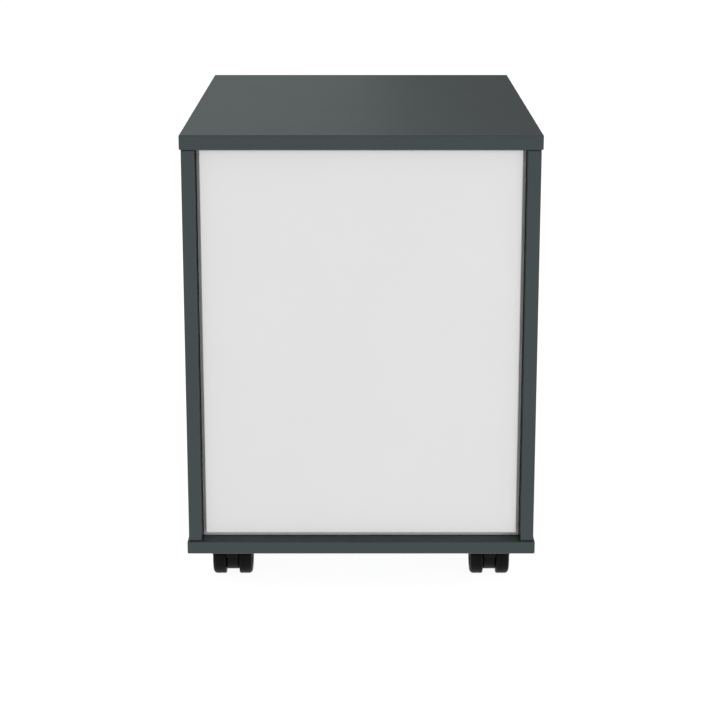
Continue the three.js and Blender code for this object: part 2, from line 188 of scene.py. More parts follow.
def chrome_plate(name):
    """Polished plating with the faint cloudiness that fingers leave."""
    chrome = Shader(name)
    chrome.set(Metallic=1.0)
    chrome.feed("Base Color", chrome.blend(chrome.noise(60, 2), (0.62, 0.625, 0.63), (0.70, 0.70, 0.70)))
    chrome.feed("Roughness", chrome.span(chrome.noise(240, 4), 0.07, 0.16))
    chrome.bump((chrome.noise(500, 2), 0.03, 0.00003))
    return chrome.material


def moulded_plastic(name, low, high, roughness, grain=0.25, gloss=0.5):
    """Moulded plastic with a spark-eroded grain."""
    plastic = Shader(name)
    plastic.set(Metallic=0.0, IOR=1.49, Specular_IOR_Level=gloss)
    plastic.feed("Base Color", plastic.blend(plastic.noise(70, 5), low, high))
    plastic.feed("Roughness", plastic.span(plastic.noise(120, 3), roughness - 0.05, roughness + 0.06))
    plastic.bump((plastic.noise(1700, 2), grain, 0.00006))
    return plastic.material


def rolled_tyre(name):
    """Wheel nylon: scuffed by rolling, with a little grey floor dust in the scuffs."""
    tyre = Shader(name)
    tyre.set(Metallic=0.0, IOR=1.5, Specular_IOR_Level=0.09)
    scuffs = tyre.noise(160, 5, tyre.stretched((1.0, 3.0, 3.0)))
    nylon, dust = (0.0028, 0.0028, 0.0027), (0.0130, 0.0130, 0.0125)
    tyre.feed("Base Color", tyre.blend(scuffs, nylon, dust, 0.58, 0.80))
    tyre.feed("Roughness", tyre.span(scuffs, 0.34, 0.56))
    tyre.bump((scuffs, 0.10, 0.00005), (tyre.noise(1500, 2), 0.15, 0.00004))
    return tyre.material


def rough_iron(name):
    """The counterweight: cast iron under a thin coat of black primer."""
    iron = Shader(name)
    iron.set(Metallic=0.35, IOR=1.5)
    iron.feed("Base Color", iron.blend(iron.noise(140, 6), (0.022, 0.022, 0.023), (0.05, 0.05, 0.051)))
    iron.feed("Roughness", iron.span(iron.noise(200, 4), 0.55, 0.8))
    iron.bump((iron.noise(320, 5), 0.5, 0.0004))
    return iron.material


GREY_GREEN = powder_coat("grey_green_powder_coat", (0.0215, 0.0350, 0.0370), (0.0235, 0.0375, 0.0395),
                         roughness=0.37, peel=0.05)
GREY_GREEN_INSIDE = powder_coat("tray_powder_coat", (0.0260, 0.0390, 0.0415), (0.0310, 0.0450, 0.0475),
                                roughness=0.46, peel=0.16)
WHITE = powder_coat("white_powder_coat", (0.775, 0.776, 0.774), (0.783, 0.784, 0.782),
                    roughness=0.42, peel=0.08)
ZINC = zinc_plate("zinc_plate")
STEEL = brushed_steel("satin_steel", (0.58, 0.58, 0.57))
CHROME = chrome_plate("chrome")
BLACK_PLASTIC = moulded_plastic("black_plastic", (0.0026, 0.0026, 0.0025), (0.0048, 0.0048, 0.0046),
                                roughness=0.40, gloss=0.10)
PEN_TRAY_PLASTIC = moulded_plastic("pen_tray_plastic", (0.012, 0.0122, 0.0125), (0.017, 0.017, 0.0175),
                                   roughness=0.5, grain=0.4)
RUBBER = moulded_plastic("bumper_rubber", (0.10, 0.10, 0.098), (0.13, 0.13, 0.128),
                         roughness=0.75, grain=0.1)
TYRE = rolled_tyre("wheel_nylon")
IRON = rough_iron("cast_weight")
KEY_CAP = moulded_plastic("key_cap_plastic", (0.011, 0.011, 0.011), (0.015, 0.015, 0.015),
                          roughness=0.35)


# ----------------------------------------------------------------------------------------------------
# Mesh helpers
# ----------------------------------------------------------------------------------------------------
def to_object(name, mesh_edit, material, smooth_angle=32):
    """Turns a bmesh into an object, with its faces pointing out and smooth where they meet gently."""
    bmesh.ops.remove_doubles(mesh_edit, verts=mesh_edit.verts, dist=SAME)
    bmesh.ops.recalc_face_normals(mesh_edit, faces=mesh_edit.faces)
    limit = math.radians(smooth_angle)
    for face in mesh_edit.faces:
        face.smooth = True
    for edge in mesh_edit.edges:
        edge.smooth = len(edge.link_faces) == 2 and edge.calc_face_angle(0) < limit
    mesh = bpy.data.meshes.new(name)
    mesh_edit.to_mesh(mesh)
    mesh_edit.free()
    mesh.materials.append(material)
    piece = bpy.data.objects.new(name, mesh)
    bpy.context.scene.collection.objects.link(piece)
    flatten = piece.modifiers.new("even_normals", "WEIGHTED_NORMAL")
    flatten.keep_sharp = True
    return piece


def rounded_block(low, high, radius=0.0, segments=3, edges=None):
    """A block with rounded edges. `edges` picks the edges to round by their two end points."""
    block = bmesh.new()
    bmesh.ops.create_cube(block, size=1)
    centre = (Vector(low) + Vector(high)) / 2
    size = Vector(high) - Vector(low)
    bmesh.ops.scale(block, vec=size, verts=block.verts)
    bmesh.ops.translate(block, vec=centre, verts=block.verts)
    if radius:
        chosen = [e for e in block.edges if edges is None or edges(e.verts[0].co, e.verts[1].co)]
        bmesh.ops.bevel(block, geom=chosen, offset=radius, segments=segments, profile=0.5, affect="EDGES")
    return block


def turned_to(axis):
    """The turn that takes +Z to the axis."""
    return Vector((0, 0, 1)).rotation_difference(Vector(axis)).to_matrix().to_4x4()


def lathe(profile, axis, centre, steps=64):
    """Revolves (radius, distance along the axis) points. A profile off the axis closes on itself."""
    turned = bmesh.new()
    angles = [2 * math.pi * step / steps for step in range(steps)]
    rings = []
    for radius, distance in profile:
        points = [(radius * math.cos(a), radius * math.sin(a), distance) for a in angles]
        if radius < SAME:
            points = [(0, 0, distance)]
        rings.append([turned.verts.new(point) for point in points])
    closed = profile[0][0] > SAME
    pairs = list(zip(rings, rings[1:] + rings[:1])) if closed else list(zip(rings, rings[1:]))
    for first, second in pairs:
        for step in range(steps):
            following = (step + 1) % steps
            corners = []
            for ring, order in ((first, (step, following)), (second, (following, step))):
                corners += [ring[0]] if len(ring) == 1 else [ring[i] for i in order]
            if len(corners) > 2:
                turned.faces.new(corners)
    return moved(turned, Matrix.Translation(centre) @ turned_to(axis))


def rod(radius, start, end, axis, centre, steps=32):
    """A plain round bar, to cut a hole with."""
    return lathe([(0, start), (radius, start), (radius, end), (0, end)], axis, centre, steps)


def prism(outline, depth, bevel=0.0, segments=2):
    """An outline in XY, extruded from z = 0 to z = depth, with its end edges rounded."""
    solid = bmesh.new()
    low = [solid.verts.new((x, y, 0)) for x, y in outline]
    high = [solid.verts.new((x, y, depth)) for x, y in outline]
    ends = [solid.faces.new(low[::-1]), solid.faces.new(high)]
    for i in range(len(outline)):
        j = (i + 1) % len(outline)
        solid.faces.new((low[i], low[j], high[j], high[i]))
    if bevel:
        rims = list({edge for face in ends for edge in face.edges})
        bmesh.ops.bevel(solid, geom=rims, offset=bevel, segments=segments, profile=0.5, affect="EDGES")
    return solid


def upright_at(x, y, z):
    """Stands a prism up: its outline's X runs along Y and its Y up Z, and its depth runs along X."""
    return Matrix(((0, 0, 1, x), (1, 0, 0, y), (0, 1, 0, z), (0, 0, 0, 1)))


def arc(centre, radius, start, end, steps):
    """Points on an arc, with angles in degrees."""
    angles = [math.radians(start + (end - start) * step / steps) for step in range(steps + 1)]
    return [(centre[0] + radius * math.cos(a), centre[1] + radius * math.sin(a)) for a in angles]


def moved(mesh_edit, matrix):
    bmesh.ops.transform(mesh_edit, matrix=matrix, verts=mesh_edit.verts)
    return mesh_edit


def merged(*parts):
    """Puts several closed shells in one bmesh."""
    whole = bmesh.new()
    for part in parts:
        mesh = bpy.data.meshes.new("part")
        part.to_mesh(mesh)
        part.free()
        whole.from_mesh(mesh)
        bpy.data.meshes.remove(mesh)
    return whole


def boolean(base, tool, operation):
    """Joins, cuts or intersects two closed bmeshes, exactly."""
    objects = []
    for number, part in enumerate((base, tool)):
        mesh = bpy.data.meshes.new(f"boolean_{number}")
        bmesh.ops.recalc_face_normals(part, faces=part.faces)
        part.to_mesh(mesh)
        part.free()
        objects.append(bpy.data.objects.new(mesh.name, mesh))
        bpy.context.scene.collection.objects.link(objects[-1])
    modifier = objects[0].modifiers.new("boolean", "BOOLEAN")
    modifier.operation = operation
    modifier.solver = "EXACT"
    modifier.object = objects[1]
    bpy.context.view_layer.update()
    evaluated = objects[0].evaluated_get(bpy.context.evaluated_depsgraph_get())
    result = bmesh.new()
    result.from_mesh(evaluated.to_mesh())
    evaluated.to_mesh_clear()
    for made in objects:
        mesh = made.data
        bpy.data.objects.remove(made)
        bpy.data.meshes.remove(mesh)
    return result


def finish_piece(piece, body, slot, *replaced):
    """Sets the body the piece rides on and hides the plain solids it stands for. The slot argument is not
    used.
    """
    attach(piece, body)
    if replaced:
        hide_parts(*replaced)
    return piece


def centre_of(node):
    low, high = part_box(node)
    return (Vector(low) + Vector(high)) / 2


# ----------------------------------------------------------------------------------------------------
# Screws: pan heads with a cross recess
# ----------------------------------------------------------------------------------------------------
def screw_head(place, outwards, radius=3.6 * MM, height=1.6 * MM):
    """A pan head standing on `place`, facing `outwards`. Its shares are of the radius and the height."""
    dome = [(0, 1), (0.62, 0.97), (0.86, 0.78), (1, 0.38), (1, 0), (0, 0)]
    head = lathe([(radius * across, height * up) for across, up in dome], (0, 0, 1), (0, 0, 0), 28)
    reach, half_width, bottom = radius * 0.58, radius * 0.12, height * 0.35
    for turn in (0, math.pi / 2):
        slot = rounded_block((-reach, -half_width, bottom), (reach, half_width, height * 2))
        head = boolean(head, moved(slot, Matrix.Rotation(turn, 4, "Z")), "DIFFERENCE")
    return moved(head, Matrix.Translation(place) @ turned_to(outwards))


def screws(name, body, places, outwards, **size):
    heads = [screw_head(Vector(place), outwards, **size) for place in places]
    return finish_piece(to_object(name, merged(*heads), ZINC), body, "zinc_plate")


# ----------------------------------------------------------------------------------------------------
# Carcass
# ----------------------------------------------------------------------------------------------------
PANEL_BEND = 1.6 * MM


def make_panels():
    for node in ("top_panel", "base_panel"):
        low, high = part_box(node)
        block = rounded_block(low, high, PANEL_BEND, 4)
        piece = to_object(f"{node}_finished", block, GREY_GREEN)
        finish_piece(piece, "carcass", "grey_green_paint", node)


def make_side_panel(hand, side):
    """A double-skinned side with the rebate for the lock bar along its front inner edge."""
    node = f"{hand}_side_panel"
    low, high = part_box(node)
    shell = rounded_block(low, high, 1.2 * MM, 3)
    rebate_depth, rebate_width = 10 * MM, 20 * MM
    inner_x = low[0] if side > 0 else high[0]
    x0, x1 = sorted((inner_x - side * PAST, inner_x + side * rebate_depth))
    rebate = rounded_block((x0, low[1] - PAST, low[2] - PAST), (x1, low[1] + rebate_width, high[2] + PAST))
    piece = to_object(f"{node}_finished", boolean(shell, rebate, "DIFFERENCE"), GREY_GREEN)
    finish_piece(piece, "carcass", "grey_green_paint", node)


BACK_STEP = 14 * MM
BACK_FLANGE = {"side": 4.4 * MM, "bottom": 8.2 * MM, "top": 0.5 * MM}
BACK_SKIN = 0.9 * MM


def make_back_panel():
    """A pan whose middle is raised backwards from its flanges on both sides and at the bottom."""
    low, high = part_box("back_panel")
    flange = rounded_block(low, (high[0], high[1] - BACK_STEP, high[2]), 1.0 * MM, 3)
    face_low = Vector((low[0] + BACK_FLANGE["side"], low[1] + 2 * MM, low[2] + BACK_FLANGE["bottom"]))
    face_high = Vector((high[0] - BACK_FLANGE["side"], high[1], high[2] - BACK_FLANGE["top"]))
    pan = boolean(flange, rounded_block(face_low, face_high, 1.3 * MM, 5), "UNION")
    skin = Vector((BACK_SKIN, BACK_SKIN, BACK_SKIN))
    hollow_low, hollow_high = face_low + skin, face_high - skin
    hollow_low.y = low[1] - BACK_SKIN
    hollow = rounded_block(hollow_low, hollow_high)
    piece = to_object("back_panel_finished", boolean(pan, hollow, "DIFFERENCE"), WHITE)
    finish_piece(piece, "carcass", "white_paint", "back_panel")


def bevel_node(node, material, width, segments=2):
    """A solid whose shape is right: it keeps its mesh, and gets its finish and softened edges."""
    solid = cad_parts[node]
    solid.data.materials.clear()
    solid.data.materials.append(material)
    weld = solid.modifiers.new("weld", "WELD")
    weld.merge_threshold = 1e-5
    bevel = solid.modifiers.new("bevel", "BEVEL")
    bevel.width = width
    bevel.segments = segments
    bevel.limit_method = "ANGLE"
    bevel.angle_limit = math.radians(35)
    bevel.harden_normals = False


# ----------------------------------------------------------------------------------------------------
# Drawers
# ----------------------------------------------------------------------------------------------------
TRAY_SHEET = 1.0 * MM
LOCK_HOLE = 9.8 * MM
BUMPER = {"radius": 3.8 * MM, "height": 1.7 * MM, "inset": 8 * MM}
HANDLE = {"leg": 12 * MM, "bar": 8 * MM, "outer": 12 * MM, "inner": 4 * MM}


def make_drawer_front(drawer):
    """A folded front with soft edges. The top one has a hole for the lock."""
    node = f"{drawer}_front"
    low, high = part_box(node)
    block = rounded_block(low, high, 1.8 * MM, 4)
    if drawer == "top_drawer":
        lock = centre_of("lock_housing")
        through = high[1] - low[1] + 4 * PAST
        hole = rod(LOCK_HOLE, 0, through, (0, 1, 0), (lock.x, low[1] - 2 * PAST, lock.z), 64)
        block = boolean(block, hole, "DIFFERENCE")
    finish_piece(to_object(f"{node}_finished", block, WHITE), drawer, "white_paint", node)
    make_bumpers(drawer, low, high)


def make_bumpers(drawer, low, high):
    """A low rubber dome behind each corner of the front."""
    radius, height, inset = (BUMPER[key] for key in ("radius", "height", "inset"))
    dome = [(0, height), (radius - 1.4 * MM, height * 0.94), (radius - 0.4 * MM, height * 0.6)]
    dome += [(radius, 0), (0, 0)]
    bumpers = []
    for x in (low[0] + inset, high[0] - inset):
        for z in (low[2] + inset, high[2] - inset):
            bumpers.append(lathe(dome, (0, 1, 0), (x, high[1], z), 24))
    finish_piece(to_object(f"{drawer}_bumpers", merged(*bumpers), RUBBER), drawer, "black_plastic")


def make_handle(drawer):
    """A bow of solid satin steel, its outline drawn in plan and its long edges rounded."""
    node = f"{drawer}_handle"
    low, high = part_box(node)
    half = (high[0] - low[0]) / 2
    reach = high[1] - low[1]
    leg, bar, outer, inner = (HANDLE[key] for key in ("leg", "bar", "outer", "inner"))
    outline = [(-half, 0)]
    outline += arc((-half + outer, -reach + outer), outer, 180, 270, 10)
    outline += arc((half - outer, -reach + outer), outer, 270, 360, 10)
    outline += [(half, 0), (half - leg, 0)]
    outline += arc((half - leg - inner, -reach + bar + inner), inner, 0, -90, 6)
    outline += arc((-half + leg + inner, -reach + bar + inner), inner, -90, -180, 6)
    outline += [(-half + leg, 0)]
    bow = prism(outline, high[2] - low[2], 1.4 * MM, 4)
    bow = moved(bow, Matrix.Translation(((low[0] + high[0]) / 2, high[1], low[2])))
    finish_piece(to_object(f"{node}_finished", bow, STEEL, 40), drawer, "satin_steel", node)
    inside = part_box(f"{drawer}_tray")[0][1] + TRAY_SHEET
    middle = (low[0] + high[0]) / 2
    places = [(middle + side * (half - leg / 2), inside, (low[2] + high[2]) / 2) for _, side in SIDES]
    screws(f"{drawer}_handle_screws", drawer, places, (0, 1, 0), radius=3.9 * MM, height=2.0 * MM)


def make_tray(drawer):
    """A welded steel tray: folded corners, a hemmed rim, a raised panel in the floor and its catch pin."""
    node = f"{drawer}_tray"
    low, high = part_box(node)
    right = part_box(f"{drawer}_right_slide_inner")[0][0] - 0.3 * MM
    left = -right
    wall = TRAY_SHEET

    def below_rim(a, b):
        return min(a.z, b.z) < high[2] - SAME

    shell = rounded_block((left, low[1], low[2]), (right, high[1], high[2]), 2.5 * MM, 4, below_rim)
    inside = rounded_block((left + wall, low[1] + wall, low[2] + wall),
                           (right - wall, high[1] - wall, high[2] + 2 * PAST), 1.6 * MM, 3, below_rim)
    piece = to_object(f"{node}_finished", boolean(shell, inside, "DIFFERENCE"), GREY_GREEN_INSIDE)
    finish_piece(piece, drawer, "grey_green_paint", node)
    make_hem(drawer, (left, low[1]), (right, high[1]), high[2])
    make_floor_pressing(drawer, (left, low[1]), (right, high[1]), low[2] + wall)
    make_catch_pin(drawer, right, high[0], catch_centre(drawer))


def catch_centre(drawer):
    """The catch pin's centre, from the plain tray's own vertices beyond its right wall."""
    wall_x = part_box(f"{drawer}_right_slide_inner")[0][0]
    beyond = [v.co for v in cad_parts[f"{drawer}_tray"].data.vertices if v.co.x > wall_x + 1 * MM]
    y = (min(co.y for co in beyond) + max(co.y for co in beyond)) / 2
    z = (min(co.z for co in beyond) + max(co.z for co in beyond)) / 2
    return y, z


def make_hem(drawer, low, high, top):
    """The walls' upper edges, folded inwards and pressed flat, a hair below the rim itself."""
    thickness, height, overlap = 1.2 * MM, 7 * MM, 0.2 * MM
    left, front = low[0] + TRAY_SHEET, low[1] + TRAY_SHEET
    right, back = high[0] - TRAY_SHEET, high[1] - TRAY_SHEET
    top -= 0.35 * MM
    outer = rounded_block((left - overlap, front - overlap, top - height),
                          (right + overlap, back + overlap, top))
    inner = rounded_block((left + thickness, front + thickness, top - height - PAST),
                          (right - thickness, back - thickness, top + PAST))
    hem = boolean(outer, inner, "DIFFERENCE")
    sharp = [edge for edge in hem.edges if len(edge.link_faces) == 2 and edge.calc_face_angle(0) > 1.0]
    level = [edge for edge in sharp if abs(edge.verts[0].co.z - edge.verts[1].co.z) < SAME]
    bmesh.ops.bevel(hem, geom=level, offset=0.45 * MM, segments=3, profile=0.5, affect="EDGES")
    finish_piece(to_object(f"{drawer}_tray_hem", hem, GREY_GREEN_INSIDE), drawer, "grey_green_paint")


def make_floor_pressing(drawer, low, high, floor):
    """A shallow pressing that stiffens the tray's floor, with three beads across it."""
    margin, bead_margin, bead_half = 42 * MM, 14 * MM, 5 * MM
    x0, x1 = low[0] + margin, high[0] - margin
    y0, y1 = low[1] + margin, high[1] - margin
    top = floor + 1.3 * MM
    bead_top = top + 1.4 * MM
    parts = [rounded_block((x0, y0, floor - 0.3 * MM), (x1, y1, top), 1.2 * MM, 3,
                           lambda a, b: max(a.z, b.z) > floor)]
    for share in (0.25, 0.5, 0.75):
        y = y0 + (y1 - y0) * share
        parts.append(rounded_block((x0 + bead_margin, y - bead_half, floor),
                                   (x1 - bead_margin, y + bead_half, bead_top), 1.3 * MM, 3,
                                   lambda a, b: max(a.z, b.z) > top))
    piece = to_object(f"{drawer}_tray_pressing", merged(*parts), GREY_GREEN_INSIDE)
    finish_piece(piece, drawer, "grey_green_paint")


def make_catch_pin(drawer, wall_x, end_x, centre):
    """The riveted pin that the lock bar holds."""
    y, z = centre
    length = end_x - wall_x
    collar, shank, tip = 3.2 * MM, 2.0 * MM, 1.5 * MM
    profile = [(0, 0), (collar, 0), (collar, 0.8 * MM), (shank, 1.2 * MM)]
    profile += [(shank, length - 0.6 * MM), (tip, length), (0, length)]
    pin = lathe(profile, (1, 0, 0), (wall_x, y, z), 32)
    finish_piece(to_object(f"{drawer}_catch_pin", pin, ZINC), drawer, "zinc_plate")


def make_pen_tray():
    """A moulded tray with a pen groove and three boxes, all with rounded corners."""
    low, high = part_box("pen_tray")
    wall, lip, side_lip = 2 * MM, 2 * MM, 1.3 * MM
    groove = 46 * MM
    bowl_low = (low[0] + side_lip, low[1], low[2])
    bowl_high = (high[0] - side_lip, high[1], high[2] - 0.2 * MM)
    bowl = rounded_block(bowl_low, bowl_high, 1.6 * MM, 3)
    lips = rounded_block((low[0], low[1], high[2] - lip), high, 0.7 * MM, 3)
    tray = boolean(bowl, lips, "UNION")
    floor, rim = low[2] + wall, high[2] + 2 * PAST
    pockets = [((bowl_low[0] + wall, low[1] + wall), (bowl_high[0] - wall, low[1] + groove))]
    pitch = (bowl_high[0] - bowl_low[0] - wall) / 3
    for column in range(3):
        left = bowl_low[0] + wall + column * pitch
        pockets.append(((left, low[1] + groove + wall), (left + pitch - wall, high[1] - wall)))
    for (x0, y0), (x1, y1) in pockets:
        pocket = rounded_block((x0, y0, floor), (x1, y1, rim), 5 * MM, 5,
                               lambda a, b: min(a.z, b.z) < rim - SAME)
        tray = boolean(tray, pocket, "DIFFERENCE")
    piece = to_object("pen_tray_finished", tray, PEN_TRAY_PLASTIC)
    finish_piece(piece, "top_drawer", "black_plastic", "pen_tray")


def make_file_rail(hand):
    """A flat bar on edge in the file drawer. An ear at each end rests on the tray's end wall."""
    node = f"{hand}_file_rail"
    low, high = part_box(node)
    seat, ear, corner = high[2] - 2 * MM, 2.6 * MM, 3 * MM
    outline = [(low[1], seat), (low[1] + ear, seat)]
    outline += [(low[1] + ear, low[2] + corner), (low[1] + ear + corner, low[2])]
    outline += [(high[1] - ear - corner, low[2]), (high[1] - ear, low[2] + corner)]
    outline += [(high[1] - ear, seat), (high[1], seat), (high[1], high[2]), (low[1], high[2])]
    bar = moved(prism(outline, high[0] - low[0], 0.35 * MM, 2), upright_at(low[0], 0, 0))
    finish_piece(to_object(f"{node}_finished", bar, ZINC), "file_drawer", "zinc_plate", node)


BALL_RADIUS = 1.45 * MM
BALL_PITCH = 9 * MM
BALLS_EACH_WAY = 8
CAGE_HALF_SIZE = Vector((2.2 * MM, 78 * MM, 0.35 * MM))


def ball_row(middle, lean):
    """Balls in a row along Y, set off along X by `lean`, and the cage strip that carries them."""
    parts = []
    for step in range(-BALLS_EACH_WAY, BALLS_EACH_WAY + 1):
        ball = bmesh.new()
        place = Matrix.Translation(middle + Vector((lean, step * BALL_PITCH, 0)))
        bmesh.ops.create_icosphere(ball, subdivisions=2, radius=BALL_RADIUS, matrix=place)
        parts.append(ball)
    parts.append(rounded_block(middle - CAGE_HALF_SIZE, middle + CAGE_HALF_SIZE, 0.2 * MM, 1))
    return parts


def make_ball_cages(drawer):
    """In each slide, a ball row above and one below, both outside and inside the middle member."""
    inset, lean = 0.6 * MM, 0.2 * MM
    for hand, side in SIDES:
        outer, middle, inner = (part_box(f"{drawer}_{hand}_slide_{member}") for member in SLIDE_MEMBERS)
        parts = []
        for around, within, way in ((outer, middle, -side), (middle, inner, side)):
            below, above = ((around[end][2] + within[end][2]) / 2 for end in (0, 1))
            for z in (above - inset, below + inset):
                place = Vector(((middle[0][0] + middle[1][0]) / 2, (middle[0][1] + middle[1][1]) / 2, z))
                parts += ball_row(place, way * lean)
        cages = to_object(f"{drawer}_{hand}_ball_cages", merged(*parts), STEEL)
        finish_piece(cages, f"{drawer}_slide_middles", "satin_steel")


# ----------------------------------------------------------------------------------------------------
# Lock
# ----------------------------------------------------------------------------------------------------
def make_lock():
    """The lock's housing, turned: a barrel through the drawer front, and a flange with a rounded face."""
    low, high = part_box("lock_housing")
    x, z = (low[0] + high[0]) / 2, (low[2] + high[2]) / 2
    flange = (high[0] - low[0]) / 2
    bore, barrel = 6.8 * MM, 9.5 * MM
    face, seat, rear = low[1], low[1] + 2.2 * MM, high[1]
    profile = [(bore, rear), (barrel, rear), (barrel, seat), (flange, seat), (flange, face + 1.3 * MM)]
    profile += [(flange - 0.35 * MM, face + 0.6 * MM), (flange - 1.1 * MM, face + 0.15 * MM)]
    profile += [(flange - 1.9 * MM, face), (bore + 0.8 * MM, face), (bore, face + 0.6 * MM)]
    housing = lathe([(radius, y - rear) for radius, y in profile], (0, 1, 0), (x, rear, z), 72)
    piece = to_object("lock_housing_finished", housing, CHROME)
    finish_piece(piece, "top_drawer", "chrome", "lock_housing")
    make_key(x, z)


def make_key(x, z):
    """A flat key with cut teeth in its blade, a shoulder, and a moulded cap over its bow."""
    low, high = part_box("lock_key")
    thickness, cap_thickness = 1.4 * MM, 2.0 * MM
    tip, shoulder = high[1], high[1] - 19 * MM
    half, point = 3.0 * MM, 1.6 * MM
    cuts = (0.6, 1.7, 0.9, 2.1, 1.2)
    ends = ((0.5, 1.5), (2.4, 3.6), (4.6, 5.8), (6.8, 8.0), (9.0, 10.4))
    blade = [(shoulder, -half), (tip - point, -half), (tip, -half + point)]
    blade += [(tip - end * MM, half - cut * MM) for cut, both_ends in zip(cuts, ends) for end in both_ends]
    blade += [(tip - 11.6 * MM, half), (shoulder, half)]
    key_blade = moved(prism(blade, thickness, 0.15 * MM, 1), upright_at(x - thickness / 2, 0, z))
    finish_piece(to_object("lock_key_blade", key_blade, STEEL), "lock_plug", "satin_steel", "lock_key")
    bow_centre = low[1] + 10 * MM
    collar_end, collar_half = shoulder + 0.5 * MM, 4.2 * MM
    cap_outline = arc((bow_centre, 0), 9.7 * MM, 35, 325, 28)
    cap_outline += [(collar_end, -collar_half), (collar_end, collar_half)]
    cap = prism(cap_outline, cap_thickness, 0.5 * MM, 3)
    ring_hole = rod(2.5 * MM, -PAST, PAST, (0, 0, 1), (bow_centre - 4.5 * MM, 0, 0))
    cap = moved(boolean(cap, ring_hole, "DIFFERENCE"), upright_at(x - cap_thickness / 2, 0, z))
    finish_piece(to_object("lock_key_cap", cap, KEY_CAP), "lock_plug", "black_plastic")


def make_bar_guides():
    """Three angles in the rebate that keep the lock bar upright: a plate beside it and a leg behind it."""
    low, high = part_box("lock_bar")
    rebate_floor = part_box("right_side_panel")[0][0] + 9.8 * MM
    half_height, edge = 4 * MM, 0.4 * MM
    parts = []
    for share in (0.22, 0.55, 0.84):
        z = low[2] + (high[2] - low[2]) * share
        z0, z1 = z - half_height, z + half_height
        parts.append(rounded_block((high[0] - 3.4 * MM, high[1] - 14 * MM, z0),
                                   (rebate_floor, high[1] + 2 * MM, z1), edge, 2))
        parts.append(rounded_block((low[0] + 1.6 * MM, high[1] + 0.7 * MM, z0),
                                   (rebate_floor, high[1] + 2.3 * MM, z1), edge, 2))
    finish_piece(to_object("lock_bar_guides", merged(*parts), BLACK_PLASTIC), "carcass", "black_plastic")


# ----------------------------------------------------------------------------------------------------
# Castors
# ----------------------------------------------------------------------------------------------------
def make_wheel(castor, hand, side):
    """A nylon wheel: soft shoulders, a shallow tread groove, a dished hub with ribs and a boss.

    Its outline is in millimetres from its axis and from its inner face.
    """
    node = f"{castor}_{hand}_wheel"
    low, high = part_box(node)
    centre = centre_of(node)
    inner = low[0] if side > 0 else high[0]
    width = high[0] - low[0]
    bore = [(0, 11.7), (3.3, 11.7), (3.3, 0)]
    tread = [(22.8, 0), (24.2, 0.35), (24.9, 1.2), (25.0, 2.2)]
    groove = [(25.0, 5.4), (24.7, 5.6), (24.7, 6.4), (25.0, 6.6)]
    shoulder = arc((20, 11.7), 5, 0, 90, 8)
    dish = [(17.0, 16.7), (16.4, 16.5), (16.0, 15.9), (15.6, 14.6), (15.0, 14.2), (8.2, 14.2)]
    boss = [(7.8, 14.5), (7.4, 15.3), (6.8, 15.6), (0, 15.6)]
    outline = bore + tread + groove + shoulder + dish + boss
    profile = [(radius * MM, min(out * MM, width)) for radius, out in outline]
    place = (inner, centre[1], centre[2])
    wheel = lathe(profile, (side, 0, 0), place, 72)
    spokes = []
    for step in range(6):
        spoke = rounded_block((7 * MM, -0.9 * MM, 13.6 * MM), (15.7 * MM, 0.9 * MM, 15.0 * MM), 0.4 * MM, 2)
        spokes.append(moved(spoke, Matrix.Rotation(step * math.pi / 3, 4, "Z")))
    ribs = moved(merged(*spokes), Matrix.Translation(place) @ turned_to((side, 0, 0)))
    piece = to_object(f"{node}_finished", merged(wheel, ribs), TYRE)
    finish_piece(piece, node, "wheel_plastic", node)


